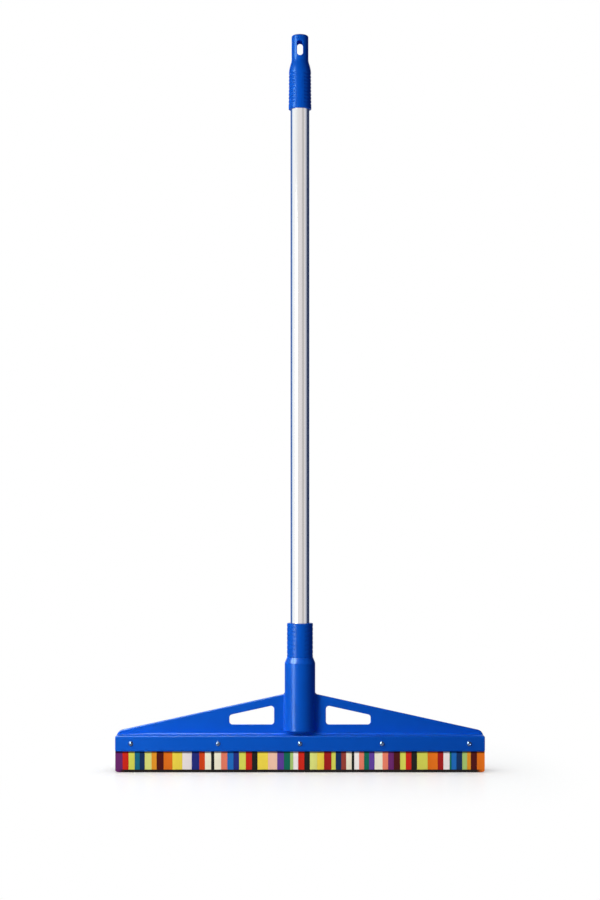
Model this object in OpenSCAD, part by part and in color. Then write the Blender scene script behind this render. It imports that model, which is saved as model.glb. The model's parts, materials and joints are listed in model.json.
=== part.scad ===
// Floor squeegee: two striped foam lips in a moulded head, on an aluminium handle that screws in.
// Millimetres. X runs along the blade, -Y is the front and Z is up.
// The origin is on the floor, below the middle of the handle.

/* [Foam lips] */
// Length of the blade and of the channel that holds it
blade_l = 600; // [460:10:900]
// Thickness of one foam lip, front to back
lip_t = 14; // [8:0.5:18]
// Height of foam that shows below the channel
lip_show = 33.8; // [15:0.1:60]

/* [Channel] */
// Wall of the front and rear flanges
flange_t = 3; // [2:0.5:4]
// Height of the flanges, from their lower edge to the top of the ledge
flange_h = 25.5; // [20:0.5:40]
// Thickness of the ledge on top of the channel
ledge_t = 4; // [3:0.5:6]
// Thickness of the spine between the two lips
spine_t = 16; // [14:1:24]
// Wall of the spine beside its pockets, and of the ribs between them
spine_wall = 3; // [2:0.5:4]
// Pockets under the spine from one screw to the next
pockets_per_bay = 2; // [1:1:4]
// Rounding along the front and rear edges of the ledge
ledge_edge_r = 2; // [0.5:0.5:3]
// Rounding of the flange corners, seen from the front
flange_corner_r = 2.5; // [1:0.5:6]

/* [Web] */
// Thickness of the upright web
web_t = 5; // [3:0.5:8]
// Height of the web above the ledge, where it meets the socket
web_rise = 66; // [50:1:90]
// Height of the web's sloping edge above the ledge, at the ends of the blade
web_end_rise = 5.5; // [3:0.5:12]
// Rounding of the web's outer corners
web_corner_r = 12; // [6:1:14]
// Fillet between the web's top edge and the socket
crotch_r = 5; // [2:0.5:8]
// Fillet along the foot of the web and up the sides of the socket
web_fillet_r = 3; // [1:0.5:3.5]

/* [Windows] */
// Distance from the middle to a window's inner side
window_in = 42.4; // [36:0.1:60]
// Distance from the middle to a window's outer side
window_out = 115.5; // [90:0.1:118]
// Height of a window's sill above the ledge
window_sill = 15.8; // [8:0.1:16]
// Height of the band between a window and the web's top edge
window_band = 14.7; // [8:0.1:16]
// Rounding of a window's corners
window_r = 5; // [1:0.5:6]

/* [Socket] */
// Outer diameter of the socket
socket_d = 50; // [46:0.5:60]
// Height of the socket's mouth above the ledge
socket_rise = 126; // [110:0.5:160]
// Gap between the ledge and the lower end of the socket
socket_gap = 5.5; // [3.5:0.5:8]
// Height of the cone below the socket's mouth
socket_cone_h = 9; // [4:0.5:16]
// Thickness of the socket's floor
socket_floor_t = 5; // [3:0.5:10]
// Rounding of the socket's lower rim
socket_rim_r = 2; // [0.5:0.5:4]

/* [Ferrule] */
// Diameter of the grooved collar
collar_d = 42.4; // [40:0.1:45]
// Height of the collar
collar_h = 55.6; // [40:0.2:70]
// Rounding of the collar's edges
collar_edge_r = 1.2; // [0.4:0.1:2]
// Distance from groove to groove on the collar
collar_groove_pitch = 7.4; // [6:0.1:10]
// Depth of the collar's grooves
collar_groove_depth = 0.4; // [0.1:0.05:0.8]
// Plain band at the foot of the collar, up to the first groove
collar_plain = 5; // [4:0.5:10]
// Outer diameter of the thread on the spigot below the collar
spigot_d = 36; // [30:0.5:37]
// Length of the spigot
spigot_l = 38; // [30:1:60]
// Wall of the hollow spigot
spigot_wall = 4; // [3:0.5:6]
// Thickness of the ferrule's floor, below the end of the tube
tube_seat_t = 8; // [4:0.5:14]

/* [Handle tube] */
// Outer diameter of the tube
tube_d = 31; // [24:0.5:32]
// Wall of the tube
tube_wall = 1.2; // [0.8:0.1:2]
// Length of tube that shows between the ferrule and the grip
tube_show = 840; // [500:1:1400]

/* [Grip] */
// Diameter at the foot of the sleeve
sleeve_foot_d = 37.3; // [36:0.1:42]
// Diameter at the top of the sleeve
sleeve_top_d = 36; // [36:0.1:42]
// Length of the sleeve
sleeve_l = 61; // [40:1:140]
// Rounding of the sleeve's lower edge
sleeve_edge_r = 1.2; // [0.4:0.1:2]
// Distance from groove to groove on the sleeve
sleeve_groove_pitch = 5.8; // [5:0.1:10]
// Depth of the sleeve's grooves
sleeve_groove_depth = 0.6; // [0.2:0.05:0.9]
// Plain band at the foot of the sleeve, up to the first groove
sleeve_plain = 10; // [5:0.5:20]
// Height of the crown above the sleeve
crown_h = 10; // [6:0.5:16]
// Diameter at the top of the crown
crown_d = 32.4; // [29:0.1:34]
// Height of the cove between crown and neck
cove_h = 10; // [6:0.5:16]
// Diameter of the neck
neck_d = 27.5; // [22:0.5:28]
// Length of the neck
neck_l = 40; // [38:1:80]
// Rounding of the neck's top edge
neck_edge_r = 3; // [1:0.5:5]
// Width of the hang slot, which has round ends
slot_w = 9.6; // [7:0.1:14]
// Height of the hang slot
slot_h = 24.8; // [16:0.1:27]
// Distance from the top of the slot to the top of the grip
slot_down = 10; // [8:0.5:14]

/* [Side grooves] */
// Radius of the groove's hollow, on collar and sleeve
groove_r = 2.5; // [1.5:0.1:3]
// Angle of each side that the grooves take up, between smooth panels at the front and the rear
groove_sweep = 132; // [90:2:150]

/* [Screws] */
// Diameter of the screws that hold the lips
screw_d = 4; // [3:0.5:5]
// Length of a screw under its head
screw_l = 22; // [19:0.5:24]
// Length of a screw's point
screw_point_l = 3; // [2:0.5:4]
// Diameter of a screw's domed head
screw_head_d = 8; // [6:0.5:10]
// Height of a screw's domed head
screw_head_h = 2.6; // [1.5:0.1:4]
// Width of the driving recess in the head
screw_recess_w = 2.2; // [1:0.1:3]
// Distance from the middle to the inner screws
screw_inner_x = 133; // [100:1:160]
// Distance from the ends of the blade to the outer screws
screw_end_x = 25.5; // [15:0.5:40]
// Width of the solid stretch of spine that a screw bites into
screw_boss_w = 14; // [10:1:20]

/* [Fits] */
// Radial clearance of pieces that turn in one another
turn_clear = 0.05; // [0.02:0.01:0.1]
// Radial clearance of a screw in its hole
screw_clear = 0.05; // [0.02:0.01:0.2]

/* [Hidden] */
$fn = 96;
eps = 1;

// Colours of the moulded plastic, the bare metal and the foam
plastic_blue = [0.03, 0.30, 0.72];
bare_metal = [0.80, 0.81, 0.83];
screw_metal = [0.70, 0.71, 0.73];
palette = [
    ["plum", [0.43, 0.16, 0.42]],
    ["violet", [0.38, 0.24, 0.60]],
    ["indigo", [0.13, 0.19, 0.54]],
    ["navy", [0.02, 0.20, 0.36]],
    ["teal", [0.08, 0.41, 0.50]],
    ["blue", [0.13, 0.42, 0.75]],
    ["green", [0.03, 0.40, 0.32]],
    ["leaf", [0.66, 0.78, 0.40]],
    ["pistachio", [0.80, 0.86, 0.50]],
    ["lime", [0.82, 0.83, 0.35]],
    ["yellow", [0.90, 0.82, 0.28]],
    ["amber", [0.88, 0.58, 0.18]],
    ["orange", [0.88, 0.44, 0.08]],
    ["vermilion", [0.80, 0.26, 0.06]],
    ["red", [0.80, 0.15, 0.09]],
    ["crimson", [0.62, 0.10, 0.12]],
    ["maroon", [0.31, 0.07, 0.05]],
    ["brick", [0.62, 0.23, 0.14]],
    ["charcoal", [0.10, 0.12, 0.12]],
    ["grey", [0.87, 0.85, 0.84]],
    ["cream", [0.92, 0.89, 0.78]],
    ["peach", [0.92, 0.74, 0.64]],
    ["salmon", [0.88, 0.46, 0.36]],
];

// Lay-up of a lip from left to right: colour and thickness of each slab before the stack is cut to length.
// A slab that a screw goes through has a third value, the share of the slab to the left of the screw.
layup = [
    ["plum", 12], ["red", 10], ["lime", 10, 0.4], ["teal", 8], ["navy", 8], ["pistachio", 11],
    ["amber", 8], ["maroon", 11], ["orange", 14], ["yellow", 16], ["grey", 15], ["indigo", 12],
    ["vermilion", 9], ["cream", 10], ["charcoal", 5], ["cream", 11, 0.55], ["salmon", 10], ["blue", 10],
    ["indigo", 9], ["lime", 11], ["red", 10], ["charcoal", 9], ["yellow", 17], ["peach", 15],
    ["violet", 11], ["green", 10], ["leaf", 5], ["grey", 8], ["red", 10, 0.3], ["charcoal", 9],
    ["pistachio", 12], ["yellow", 11], ["crimson", 12], ["lime", 7], ["navy", 9], ["brick", 8],
    ["cream", 9], ["charcoal", 4], ["grey", 8], ["salmon", 8], ["green", 8], ["violet", 9],
    ["cream", 13, 0.92], ["salmon", 9], ["plum", 9], ["maroon", 10], ["lime", 9], ["red", 9],
    ["charcoal", 9], ["lime", 17], ["orange", 16], ["crimson", 9], ["grey", 10], ["green", 3],
    ["blue", 8], ["navy", 9], ["leaf", 8], ["amber", 6, 0.5], ["maroon", 10], ["orange", 13],
];

// Places along X
half_l = blade_l / 2;
screw_outer_x = half_l - screw_end_x;
screw_xs = [-screw_outer_x, -screw_inner_x, 0, screw_inner_x, screw_outer_x];

// Places along Y, from the middle out
spine_y = spine_t / 2;
lip_y = spine_y + lip_t;
flange_y = lip_y + flange_t;

// Places along Z, from the floor up
flange_z = lip_show;
ledge_z = flange_z + flange_h;
lip_top_z = ledge_z - ledge_t;
screw_z = flange_z + flange_h / 2;
socket_foot_z = ledge_z + socket_gap;
mouth_z = ledge_z + socket_rise;
tube_foot_z = mouth_z + tube_seat_t;
collar_top_z = mouth_z + collar_h;
sleeve_foot_z = collar_top_z + tube_show;
sleeve_top_z = sleeve_foot_z + sleeve_l;
crown_z = sleeve_top_z + crown_h;
neck_z = crown_z + cove_h;
top_z = neck_z + neck_l;
tube_top_z = sleeve_top_z;

socket_r = socket_d / 2;
collar_r = collar_d / 2;
spigot_r = spigot_d / 2;
tube_r = tube_d / 2;
screw_r = screw_d / 2;
neck_r = neck_d / 2;

// Slope of the web's top edge, and its height above the floor at a distance from the middle
web_slope = (web_rise - web_end_rise) / (half_l - socket_r);
function web_edge_z(x) = ledge_z + web_rise - web_slope * (x - socket_r);

function unit(v) = v / norm(v);

// Points of an arc
function arc(centre, r, from, sweep, steps) =
    [for (i = [0 : steps]) centre + r * [cos(from + sweep * i / steps), sin(from + sweep * i / steps)]];

// Points that round the corner b between a and c
function corner(a, b, c, r, steps) =
    let (
        u = unit(a - b),
        v = unit(c - b),
        half = acos(u * v) / 2,
        centre = b + unit(u + v) * r / sin(half),
        start = b + u * r / tan(half) - centre,
        turn = sign(cross(b - a, c - b)) * (180 - 2 * half)
    )
    arc(centre, r, atan2(start[1], start[0]), turn, steps);

// Outline whose corner number i is rounded by radii[i], or left sharp where that is 0
function rounded(points, radii, steps = 8) =
    let (n = len(points))
    [
        for (i = [0 : n - 1])
            each radii[i] == 0
                ? [points[i]]
                : corner(points[(i + n - 1) % n], points[i], points[(i + 1) % n], radii[i], steps)
    ];

// Extrudes an outline drawn in X and Z, centred on Y = 0
module along_y(width) {
    rotate([90, 0, 0]) linear_extrude(width, center = true) children();
}

// Extrudes an outline drawn in Y and Z, centred on X = 0
module along_x(length) {
    rotate([90, 0, 90]) linear_extrude(length, center = true) children();
}

// Places children at each screw, on the front and on the rear, with the screw pointing to +Z
module at_screws() {
    for (turn = [0, 180], x = screw_xs)
        rotate([0, 0, turn])
            translate([x, -flange_y, screw_z])
                rotate([-90, 0, 0]) children();
}

// Channel: a ledge with two flanges and a spine, open at the ends and below
module channel() {
    section = rounded(
        [
            [-flange_y, flange_z], [-lip_y, flange_z], [-lip_y, lip_top_z], [-spine_y, lip_top_z],
            [-spine_y, flange_z], [spine_y, flange_z], [spine_y, lip_top_z], [lip_y, lip_top_z],
            [lip_y, flange_z], [flange_y, flange_z], [flange_y, ledge_z], [-flange_y, ledge_z],
        ],
        [0, 0, 0, 0, 0, 0, 0, 0, 0, 0, ledge_edge_r, ledge_edge_r]
    );
    face = rounded(
        [[-half_l, flange_z], [half_l, flange_z], [half_l, ledge_z], [-half_l, ledge_z]],
        [for (i = [0 : 3]) flange_corner_r]
    );
    intersection() {
        along_x(blade_l) polygon(section);
        along_y(2 * flange_y + 2 * eps) polygon(face);
    }
}

// Outline of the web, with its foot buried in the spine
module web_outline() {
    side_x = socket_r - eps / 5;
    foot_z = lip_top_z - eps;
    end_z = ledge_z + web_end_rise;
    joint_z = web_edge_z(side_x);
    head_z = joint_z + 2 * crotch_r + eps;
    polygon(rounded(
        [
            [-half_l, foot_z], [half_l, foot_z], [half_l, end_z], [side_x, joint_z], [side_x, head_z],
            [-side_x, head_z], [-side_x, joint_z], [-half_l, end_z],
        ],
        [0, 0, web_end_r, crotch_r, 0, 0, crotch_r, web_end_r]
    ));
}

// The outer corner can be no rounder than the height of the web's end lets it be
web_end_angle = 90 + atan(web_slope);
web_end_r = min(web_corner_r, (web_end_rise + ledge_t + eps / 2) * tan(web_end_angle / 2));

// One window, to the right of the socket
module window() {
    sill_z = ledge_z + window_sill;
    out_z = web_edge_z(window_out) - window_band;
    in_z = web_edge_z(window_in) - window_band;
    r = min(window_r, (out_z - sill_z) / 2);
    polygon(rounded(
        [[window_in, sill_z], [window_out, sill_z], [window_out, out_z], [window_in, in_z]],
        [r, r, r, r]
    ));
}

// Fillets along the foot of the web
module web_foot() {
    foot_l = 2 * (half_l - web_corner_r);
    for (side = [0, 1])
        mirror([0, side, 0])
            along_x(foot_l)
                difference() {
                    translate([0, ledge_z - eps]) square([web_t / 2 + web_fillet_r, web_fillet_r + eps]);
                    translate([web_t / 2 + web_fillet_r, ledge_z + web_fillet_r]) circle(web_fillet_r);
                }
}

// Fillets up the sides of the socket, cut off by the web's top edge
module socket_sides() {
    reach = socket_r + web_fillet_r;
    fillet_y = web_t / 2 + web_fillet_r;
    fillet_x = sqrt(reach * reach - fillet_y * fillet_y);
    touch = socket_r / reach * [fillet_x, fillet_y];
    intersection() {
        translate([0, 0, socket_foot_z])
            linear_extrude(web_rise)
                for (flip_x = [0, 1], flip_y = [0, 1])
                    mirror([flip_x, 0]) mirror([0, flip_y])
                        difference() {
                            polygon([[socket_r - eps, 0], [fillet_x, 0], [fillet_x, fillet_y], touch]);
                            translate([fillet_x, fillet_y]) circle(web_fillet_r);
                        }
        along_y(socket_d) web_outline();
    }
}

// Outside of the socket, with a rounded lower rim and a cone up to the collar
module socket_body() {
    rotate_extrude()
        polygon(rounded(
            [
                [0, socket_foot_z], [socket_r, socket_foot_z], [socket_r, mouth_z - socket_cone_h],
                [collar_r, mouth_z], [0, mouth_z],
            ],
            [0, socket_rim_r, 0, 0, 0]
        ));
}

module socket_bore() {
    floor_z = socket_foot_z + socket_floor_t;
    translate([0, 0, floor_z]) cylinder(r = spigot_r + turn_clear, h = mouth_z - floor_z + eps);
}

// Pockets that keep the spine's walls thin between the screws
module spine_pockets() {
    for (bay = [0 : len(screw_xs) - 2]) {
        from_x = screw_xs[bay] + screw_boss_w / 2;
        to_x = screw_xs[bay + 1] - screw_boss_w / 2;
        step = (to_x - from_x + spine_wall) / pockets_per_bay;
        for (i = [0 : pockets_per_bay - 1])
            translate([from_x + i * step, spine_wall - spine_y, flange_z - eps])
                cube([step - spine_wall, spine_t - 2 * spine_wall, lip_top_z - flange_z + eps]);
    }
}

module screw_hole() {
    translate([0, 0, -eps]) cylinder(r = screw_r + screw_clear, h = screw_l + eps + screw_clear, $fn = 48);
}

module head_moulding() {
    color(plastic_blue)
        difference() {
            union() {
                channel();
                along_y(web_t) web_outline();
                web_foot();
                socket_sides();
                socket_body();
            }
            for (side = [0, 1])
                mirror([side, 0, 0]) along_y(2 * flange_y) window();
            socket_bore();
            spine_pockets();
            at_screws() screw_hole();
        }
}

// Domed screws with a driving recess and a point
module lip_screws() {
    head_r = screw_head_d / 2;
    dome_r = (head_r * head_r + screw_head_h * screw_head_h) / (2 * screw_head_h);
    dome_a = asin(head_r / dome_r);
    dome = arc([0, dome_r - screw_head_h], dome_r, -90, dome_a, 8);
    profile = concat(dome, [[screw_r, 0], [screw_r, screw_l - screw_point_l], [0, screw_l]]);
    color(screw_metal)
        at_screws()
            difference() {
                rotate_extrude($fn = 48) polygon(profile);
                translate([0, 0, -screw_head_h])
                    cylinder(r1 = screw_recess_w, r2 = 0, h = screw_head_h, $fn = 24, center = true);
            }
}

// Edges of the slabs along X. Each stretch of the lay-up, from one screw to the next, is cut to fill its bay,
// so that every screw goes through the same slab at any length of blade.
function stack_to(count) = count == 0 ? 0 : stack_to(count - 1) + layup[count - 1][1];
screw_places = [
    for (i = [0 : len(layup) - 1])
        if (len(layup[i]) > 2) stack_to(i) + layup[i][2] * layup[i][1]
];
stack_to_x = concat(
    [[0, -half_l]],
    [for (i = [0 : len(screw_xs) - 1]) [screw_places[i], screw_xs[i]]],
    [[stack_to(len(layup)), half_l]]
);
slab_xs = [for (i = [0 : len(layup)]) lookup(stack_to(i), stack_to_x)];

// All slabs of one colour, in the front lip and in the rear lip
module foam_slabs(swatch) {
    hole_r = screw_r + screw_clear;
    color(swatch[1])
        for (i = [0 : len(layup) - 1], y = [-lip_y, spine_y])
            if (layup[i][0] == swatch[0])
                difference() {
                    translate([slab_xs[i], y, 0]) cube([slab_xs[i + 1] - slab_xs[i], lip_t, lip_top_z]);
                    for (x = screw_xs)
                        if (x + hole_r > slab_xs[i] && x - hole_r < slab_xs[i + 1])
                            translate([x, y - eps, screw_z])
                                rotate([-90, 0, 0]) cylinder(r = hole_r, h = lip_t + 2 * eps, $fn = 48);
                }
}

module handle_tube() {
    tube_l = tube_top_z - tube_foot_z;
    color(bare_metal)
        translate([0, 0, tube_foot_z])
            difference() {
                cylinder(r = tube_r, h = tube_l);
                translate([0, 0, -eps]) cylinder(r = tube_r - tube_wall, h = tube_l + 2 * eps);
            }
}

// Grooves on the left and right of a round piece, from z0 to z1, with radius r0 at z0 and r1 at z1
module side_grooves(z0, z1, r0, r1, pitch, depth) {
    count = floor((z1 - z0) / pitch);
    for (side = [0, 180], i = [0 : count])
        let (
            z = z0 + i * pitch,
            r = r0 + (r1 - r0) * i * pitch / (z1 - z0)
        )
        rotate([0, 0, side - groove_sweep / 2])
            translate([0, 0, z])
                rotate_extrude(angle = groove_sweep)
                    translate([r + groove_r - depth, 0]) circle(groove_r);
}

// Ferrule: a grooved collar round the tube's end, and the hollow spigot that screws into the socket
module ferrule() {
    bore_r = tube_r + turn_clear;
    core_r = spigot_r - spigot_wall;
    core_top_z = mouth_z - spigot_wall;
    foot_z = mouth_z - spigot_l;
    edge = collar_edge_r;
    profile = concat(
        [
            [0, core_top_z], [core_r, core_top_z], [core_r, foot_z], [spigot_r - edge, foot_z],
            [spigot_r, foot_z + edge], [spigot_r, mouth_z], [collar_r - edge / 2, mouth_z],
            [collar_r, mouth_z + edge / 2],
        ],
        arc([collar_r - edge, collar_top_z - edge], edge, 0, 90, 4),
        [[bore_r, collar_top_z], [bore_r, tube_foot_z], [0, tube_foot_z]]
    );
    groove_z = mouth_z + collar_plain;
    color(plastic_blue)
        difference() {
            rotate_extrude() polygon(profile);
            side_grooves(
                groove_z, collar_top_z - collar_plain,
                collar_r, collar_r, collar_groove_pitch, collar_groove_depth
            );
        }
}

// Points up the crown and in along the cove to the neck
crown_steps = 6;
crown_bend = 75;
cove_steps = 6;
cove_power = 1.4;
function crown(r0, r1) =
    [
        for (i = [0 : crown_steps])
            let (share = i / crown_steps)
            [r1 + (r0 - r1) * sin(crown_bend * (1 - share)) / sin(crown_bend), sleeve_top_z + crown_h * share]
    ];
function cove(r0, r1) =
    [
        for (i = [1 : cove_steps])
            let (share = i / cove_steps)
            [r1 + (r0 - r1) * pow(1 - share, cove_power), crown_z + cove_h * share]
    ];

// Grip: a grooved sleeve on the tube, a crown, a cove and a round neck with a hang slot
module grip() {
    bore_r = tube_r + turn_clear;
    foot_r = sleeve_foot_d / 2;
    top_r = sleeve_top_d / 2;
    crown_r = crown_d / 2;
    edge = neck_edge_r;
    foot_edge = sleeve_edge_r;
    profile = concat(
        [[bore_r, tube_top_z], [bore_r, sleeve_foot_z]],
        arc([foot_r - foot_edge, sleeve_foot_z + foot_edge], foot_edge, -90, 90, 4),
        crown(top_r, crown_r),
        cove(crown_r, neck_r),
        arc([neck_r - edge, top_z - edge], edge, 0, 90, 6),
        [[0, top_z], [0, tube_top_z]]
    );
    slot_top_z = top_z - slot_down;
    slot_x = slot_w / 2;
    slot = rounded(
        [
            [-slot_x, slot_top_z - slot_h], [slot_x, slot_top_z - slot_h],
            [slot_x, slot_top_z], [-slot_x, slot_top_z],
        ],
        [for (i = [0 : 3]) slot_x]
    );
    groove_z = sleeve_foot_z + sleeve_plain;
    color(plastic_blue)
        difference() {
            rotate_extrude() polygon(profile);
            side_grooves(groove_z, sleeve_top_z, foot_r, top_r, sleeve_groove_pitch, sleeve_groove_depth);
            along_y(2 * neck_d) polygon(slot);
        }
}

head_moulding();
lip_screws();
handle_tube();
ferrule();
grip();
for (swatch = palette)
    foam_slabs(swatch);
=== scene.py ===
import json
import math
import random

import bmesh
import bpy
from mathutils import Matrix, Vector
from mathutils.geometry import tessellate_polygon


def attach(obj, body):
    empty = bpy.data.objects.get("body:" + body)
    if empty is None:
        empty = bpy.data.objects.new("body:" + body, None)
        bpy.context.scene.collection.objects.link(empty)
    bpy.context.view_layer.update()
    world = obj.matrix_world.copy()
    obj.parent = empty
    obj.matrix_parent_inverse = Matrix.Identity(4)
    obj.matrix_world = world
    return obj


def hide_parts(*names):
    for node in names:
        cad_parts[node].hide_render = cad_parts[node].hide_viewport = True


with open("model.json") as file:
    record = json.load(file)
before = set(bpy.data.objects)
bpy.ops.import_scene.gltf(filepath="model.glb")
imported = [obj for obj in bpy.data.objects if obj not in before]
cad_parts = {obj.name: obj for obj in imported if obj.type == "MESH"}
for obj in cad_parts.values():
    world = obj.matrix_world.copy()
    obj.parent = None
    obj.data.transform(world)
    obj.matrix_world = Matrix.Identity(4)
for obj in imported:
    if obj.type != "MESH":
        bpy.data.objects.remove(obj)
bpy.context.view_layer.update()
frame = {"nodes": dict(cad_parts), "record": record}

scene = bpy.context.scene
nodes = frame["nodes"]
MM = 0.001

# Sizes in millimetres, the main ones as in the part's source
HALF_L = 300.0
SPINE_Y = 8.0
LIP_Y = 22.0
FLANGE_Y = 25.0
FLANGE_Z = 33.8
LEDGE_Z = FLANGE_Z + 25.5
LIP_TOP_Z = LEDGE_Z - 4.0
LEDGE_EDGE_R = 2.0
FLANGE_CORNER_R = 2.5
SPINE_WALL = 3.0
SPINE_POCKET_R = 1.0
SCREW_BOSS_W = 14.0
POCKETS_PER_BAY = 2
WEB_T = 5.0
WEB_RISE = 66.0
WEB_END_RISE = 5.5
WEB_CORNER_R = 12.0
WEB_EDGE_R = 2.3
CROTCH_R = 5.0
FILLET_R = 3.0
FILLET_ROOT = 0.8
FILLET_FADE_X = 240.0
FILLET_FADE_L = 52.0
WINDOW_IN = 42.4
WINDOW_OUT = 115.5
WINDOW_SILL = 15.8
WINDOW_BAND = 14.7
WINDOW_R = 5.0
WINDOW_EDGE_R = 0.9
SOCKET_R = 25.0
SOCKET_FOOT_Z = LEDGE_Z + 5.5
SOCKET_FLOOR_Z = SOCKET_FOOT_Z + 5.0
SOCKET_RIM_R = 2.0
MOUTH_Z = LEDGE_Z + 126.0
SOCKET_CONE_Z = MOUTH_Z - 9.0
BORE_R = 18.05
COLLAR_R = 21.2
COLLAR_TOP_Z = MOUTH_Z + 55.6
COLLAR_EDGE_R = 1.2
COLLAR_PLAIN = 5.0
COLLAR_PITCH = 7.4
COLLAR_GROOVES = 7
COLLAR_GROOVE_DEPTH = 0.4
TUBE_FOOT_Z = MOUTH_Z + 8.0
TUBE_R = 15.5
TUBE_WALL = 1.2
TUBE_BORE_R = 15.55
BORE_EDGE = 0.35
SPIGOT_FOOT_Z = MOUTH_Z - 38.0
SPIGOT_CORE_R = 14.0
SPIGOT_CORE_TOP_Z = MOUTH_Z - 4.0
THREAD_FOOT_Z = SPIGOT_FOOT_Z + 7.0
THREAD_FULL_Z = SPIGOT_FOOT_Z + 10.0
THREAD_TOP_Z = MOUTH_Z - 2.0
THREAD_PITCH = 5.0
THREAD_CREST_R = 17.9
THREAD_ROOT_R = 15.9
THREAD_PLAY = 0.2
SLEEVE_FOOT_Z = COLLAR_TOP_Z + 840.0
SLEEVE_FOOT_R = 18.65
SLEEVE_TOP_R = 18.0
SLEEVE_TOP_Z = SLEEVE_FOOT_Z + 61.0
SLEEVE_EDGE_R = 1.2
SLEEVE_PLAIN = 10.0
SLEEVE_PITCH = 5.8
SLEEVE_GROOVES = 9
SLEEVE_GROOVE_DEPTH = 0.6
CROWN_Z = SLEEVE_TOP_Z + 10.0
CROWN_R = 16.2
CROWN_BEND = 75.0
NECK_Z = CROWN_Z + 10.0
NECK_R = 13.75
NECK_EDGE_R = 3.0
COVE_POWER = 1.4
TOP_Z = NECK_Z + 40.0
SLOT_R = 4.8
SLOT_TOP_Z = TOP_Z - 10.0
SLOT_FOOT_Z = SLOT_TOP_Z - 24.8
SLOT_EDGE_R = 0.9
SLOT_PATCH_RIM = 2.6
GROOVE_R = 2.5
GROOVE_SWEEP = 132.0
SCREW_XS = (-274.5, -133.0, 0.0, 133.0, 274.5)
SCREW_Z = FLANGE_Z + 12.75
SCREW_L = 22.0
SCREW_POINT_L = 3.0
SCREW_HEAD_R = 4.0
SCREW_HEAD_H = 2.55
SCREW_HOLE_R = 2.05
SCREW_ROOT_R = 1.45
SCREW_TOOTH_H = 0.52
SCREW_TIP_R = 0.12
SCREW_PITCH = 1.5
SLAB_GAP = 0.02
SLAB_CORNER_R = 0.4
SLAB_FOOT_R = 0.6
SLAB_END_W = 8.0
SLAB_END_H = 3.2

SIDES = (-1, 1)
QUARTERS = [(x, y) for x in SIDES for y in SIDES]


# Mesh making

def add_mesh(name, points, faces):
    """A mesh object from points in millimetres."""
    mesh = bpy.data.meshes.new(name)
    mesh.from_pydata([(x * MM, y * MM, z * MM) for x, y, z in points], [], faces)
    mesh.update()
    obj = bpy.data.objects.new(name, mesh)
    scene.collection.objects.link(obj)
    tidy_mesh(mesh)
    return obj


def tidy_mesh(mesh, weld=2e-6):
    """Welds doubled points and turns all faces outwards."""
    bm = bmesh.new()
    bm.from_mesh(mesh)
    bmesh.ops.remove_doubles(bm, verts=bm.verts, dist=weld)
    bmesh.ops.dissolve_degenerate(bm, edges=bm.edges, dist=weld)
    bmesh.ops.recalc_face_normals(bm, faces=bm.faces)
    bm.to_mesh(mesh)
    bm.free()


def shade(obj, angle=35.0, weighted=True):
    """Smooth shading with creases above an angle."""
    mesh = obj.data
    mesh.shade_smooth()
    mesh.set_sharp_from_angle(angle=math.radians(angle))
    if weighted:
        mod = obj.modifiers.new("normals", "WEIGHTED_NORMAL")
        mod.keep_sharp = True


def skin(rings, capped=True, looped=False):
    """Points and faces of a skin over closed rings of equal length."""
    n = len(rings[0])
    points = [p for ring in rings for p in ring]
    faces = []
    pairs = [(k, k + 1) for k in range(len(rings) - 1)]
    if looped:
        pairs.append((len(rings) - 1, 0))
    for a, b in pairs:
        for i in range(n):
            j = (i + 1) % n
            faces.append((a * n + i, a * n + j, b * n + j, b * n + i))
    if capped and not looped:
        faces.append(tuple(range(n)))
        faces.append(tuple((len(rings) - 1) * n + i for i in range(n)))
    return points, faces


def merge(parts):
    """Points and faces of several skins as one."""
    points, faces = [], []
    for p, f in parts:
        base = len(points)
        points += p
        faces += [tuple(base + i for i in face) for face in f]
    return points, faces


def boolean(obj, other, operation):
    """Joins other to obj, or cuts it away, and removes other."""
    mod = obj.modifiers.new("boolean", "BOOLEAN")
    mod.object = other
    mod.operation = operation
    mod.solver = "EXACT"
    depsgraph = bpy.context.evaluated_depsgraph_get()
    mesh = bpy.data.meshes.new_from_object(obj.evaluated_get(depsgraph))
    obj.modifiers.remove(mod)
    old = obj.data
    obj.data = mesh
    bpy.data.meshes.remove(old)
    bpy.data.objects.remove(other)
    tidy_mesh(mesh)


def arc(cx, cy, r, start, sweep, steps):
    """Points of an arc, with angles in degrees."""
    out = []
    for i in range(steps + 1):
        a = math.radians(start + sweep * i / steps)
        out.append((cx + r * math.cos(a), cy + r * math.sin(a)))
    return out


def round_corner(a, b, c, r, steps):
    """Points that round the corner b between a and c."""
    a, b, c = Vector(a), Vector(b), Vector(c)
    u = (a - b).normalized()
    v = (c - b).normalized()
    half = math.acos(max(-1.0, min(1.0, u.dot(v)))) / 2
    centre = b + (u + v).normalized() * (r / math.sin(half))
    start = b + u * (r / math.tan(half)) - centre
    end = b + v * (r / math.tan(half)) - centre
    a0 = math.atan2(start.y, start.x)
    turn = math.atan2(start.x * end.y - start.y * end.x, start.dot(end))
    angles = [a0 + turn * i / steps for i in range(steps + 1)]
    return [(centre.x + r * math.cos(a), centre.y + r * math.sin(a)) for a in angles]


def rounded(points, radii, steps=8):
    """An outline whose corner number i is rounded by radii[i]."""
    n = len(points)
    out = []
    for i in range(n):
        if radii[i] == 0:
            out.append(points[i])
        else:
            out += round_corner(points[i - 1], points[i], points[(i + 1) % n], radii[i], steps)
    return out


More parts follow.
